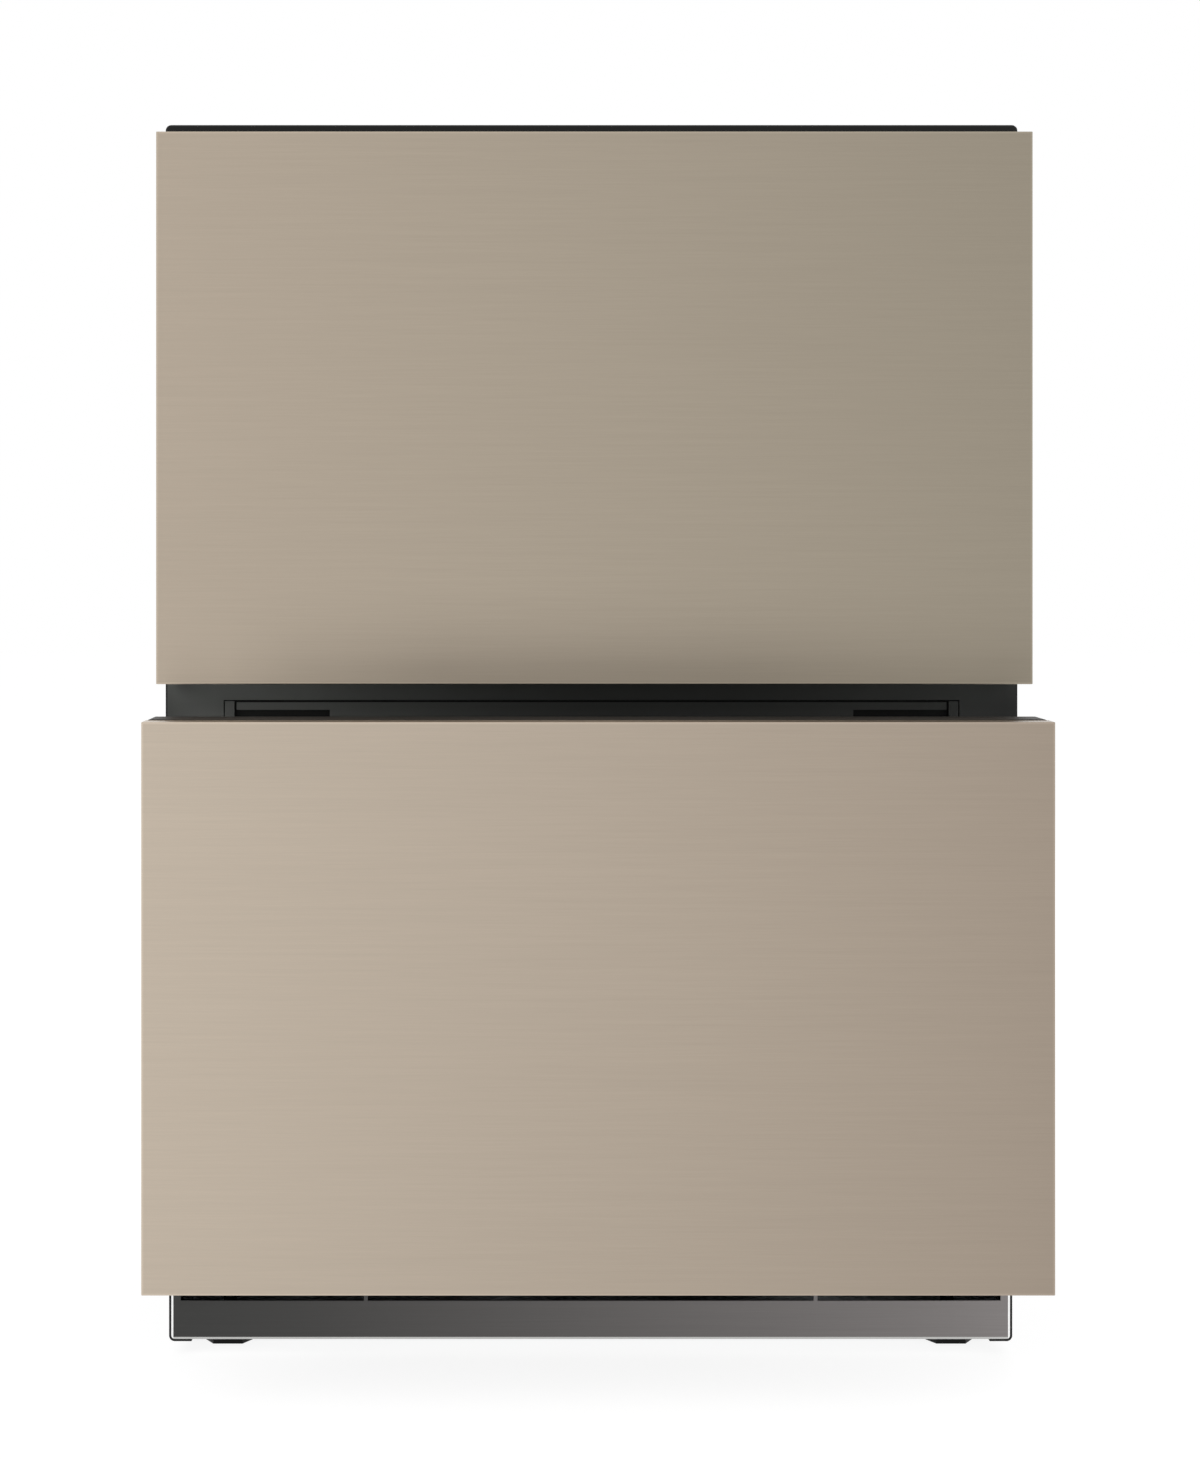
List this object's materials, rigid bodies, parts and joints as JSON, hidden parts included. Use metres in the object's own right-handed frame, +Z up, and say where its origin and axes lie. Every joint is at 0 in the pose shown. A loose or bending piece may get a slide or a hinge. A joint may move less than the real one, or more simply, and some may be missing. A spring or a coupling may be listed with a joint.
{
  "type": "undercounter drawer refrigerator",
  "caption": "Built-in undercounter refrigerator with stacked full-extension drawers behind brushed steel fronts, a vented kick grille and a rear machine bay.",
  "frame": {"origin": "on the floor under the middle of the whole box, the lower drawer standing ajar as in the picture", "axes": "+Z up, the drawer fronts face -Y, +X to the right of someone facing the back"},
  "size_m": [0.598, 0.68, 0.869],
  "materials": {
    "panel_steel": "fine horizontal brushed grain",
    "grille_steel": "fine horizontal brushed grain",
    "black_coat": "satin coated sheet",
    "galvanised": "galvanised sheet",
    "runner_zinc": "bright zinc plating",
    "foam": "rigid foam",
    "core": "rigid foam",
    "liner_plastic": "satin moulded",
    "tub_plastic": "satin moulded",
    "black_plastic": "fine texture",
    "glide_plastic": "smooth",
    "gasket_rubber": "matt",
    "mount_rubber": "matt",
    "compressor_paint": "gloss black",
    "coil_paint": "satin black",
    "copper_tube": "bare copper",
    "coil_aluminium": "bare",
    "fan_plastic": "fine texture",
    "lamp_plastic": "frosted"
  },
  "bodies": {
    "cabinet": {"outer_shell": "black_coat", "insulation": "foam", "bottom_plate": "galvanised", "back_cover": "galvanised", "machine_bay_cover": "galvanised", "upper_liner": "liner_plastic", "lower_liner": "liner_plastic", "face_frame": "black_coat", "mullion_cover": "black_plastic", "mullion_strip": "black_plastic", "kick_grille": "grille_steel", "base_pan": "galvanised", "levelling_feet": "black_plastic", "foot_lock_nuts": "runner_zinc", "compressor": "compressor_paint", "compressor_grommets": "mount_rubber", "condenser_coil": "coil_paint", "condenser_shroud": "black_plastic", "condenser_fan_motor": "black_plastic", "drip_tray": "liner_plastic", "drain_tube": "liner_plastic", "control_box": "black_plastic", "filter_drier": "copper_tube", "refrigerant_lines": "copper_tube", "evaporator_coil": "coil_aluminium", "evaporator_cover": "liner_plastic", "evaporator_fan_motor": "black_plastic", "air_duct": "liner_plastic", "upper_light_bar": "lamp_plastic", "lower_light_bar": "lamp_plastic", "upper_outer_runners": "runner_zinc", "lower_outer_runners": "runner_zinc", "upper_racks": "glide_plastic", "lower_racks": "glide_plastic"},
    "condenser_fan": {"condenser_fan": "fan_plastic"},
    "evaporator_fan": {"evaporator_fan": "fan_plastic"},
    "upper_runners": {"upper_mid_runners": "runner_zinc", "upper_glides": "glide_plastic"},
    "lower_runners": {"lower_mid_runners": "runner_zinc", "lower_glides": "glide_plastic"},
    "upper_drawer": {"upper_panel_skin": "panel_steel", "upper_panel_core": "core", "upper_door_frame": "black_plastic", "upper_door_foam": "foam", "upper_door_liner": "liner_plastic", "upper_gasket": "gasket_rubber", "upper_inner_runners": "runner_zinc", "upper_side_brackets": "runner_zinc", "upper_tub": "tub_plastic"},
    "lower_drawer": {"lower_panel_skin": "panel_steel", "lower_panel_core": "core", "lower_door_frame": "black_plastic", "lower_door_foam": "foam", "lower_door_liner": "liner_plastic", "lower_gasket": "gasket_rubber", "lower_inner_runners": "runner_zinc", "lower_side_brackets": "runner_zinc", "lower_tub": "tub_plastic"},
    "upper_sync": {"upper_sync_shaft": "runner_zinc"},
    "lower_sync": {"lower_sync_shaft": "runner_zinc"}
  },
  "joints": [
    {"name": "upper_drawer_slide", "type": "slide", "parent": "cabinet", "child": "upper_drawer", "axis": [0, -1, 0], "range_m": [0, 0.4]},
    {"name": "lower_drawer_slide", "type": "slide", "parent": "cabinet", "child": "lower_drawer", "axis": [0, -1, 0], "range_m": [-0.075, 0.325]},
    {"name": "upper_runner_slide", "type": "slide", "parent": "cabinet", "child": "upper_runners", "axis": [0, -1, 0], "range_m": [-0.001, 0.201]},
    {"name": "lower_runner_slide", "type": "slide", "parent": "cabinet", "child": "lower_runners", "axis": [0, -1, 0], "range_m": [-0.0385, 0.1635]},
    {"name": "upper_sync_spin", "type": "hinge", "parent": "upper_drawer", "child": "upper_sync", "pos_m": [0, 0.2375, 0.6408], "axis": [1, 0, 0], "range_deg": [-4, 1914]},
    {"name": "lower_sync_spin", "type": "hinge", "parent": "lower_drawer", "child": "lower_sync", "pos_m": [0, 0.1625, 0.3262], "axis": [1, 0, 0], "range_deg": [-362, 1556]},
    {"name": "condenser_fan_spin", "type": "hinge", "parent": "cabinet", "child": "condenser_fan", "pos_m": [-0.0475, 0.2488, 0.095], "axis": [1, 0, 0], "continuous": true},
    {"name": "evaporator_fan_spin", "type": "hinge", "parent": "cabinet", "child": "evaporator_fan", "pos_m": [0, 0.276, 0.759], "axis": [0, 1, 0], "continuous": true}
  ],
  "couplings": [
    {"joint": "upper_runner_slide", "follows": "upper_drawer_slide", "ratio": 0.5},
    {"joint": "lower_runner_slide", "follows": "lower_drawer_slide", "ratio": 0.5},
    {"joint": "upper_sync_spin", "follows": "upper_drawer_slide", "rad_per_m": 83.333},
    {"joint": "lower_sync_spin", "follows": "lower_drawer_slide", "rad_per_m": 83.333}
  ]
}
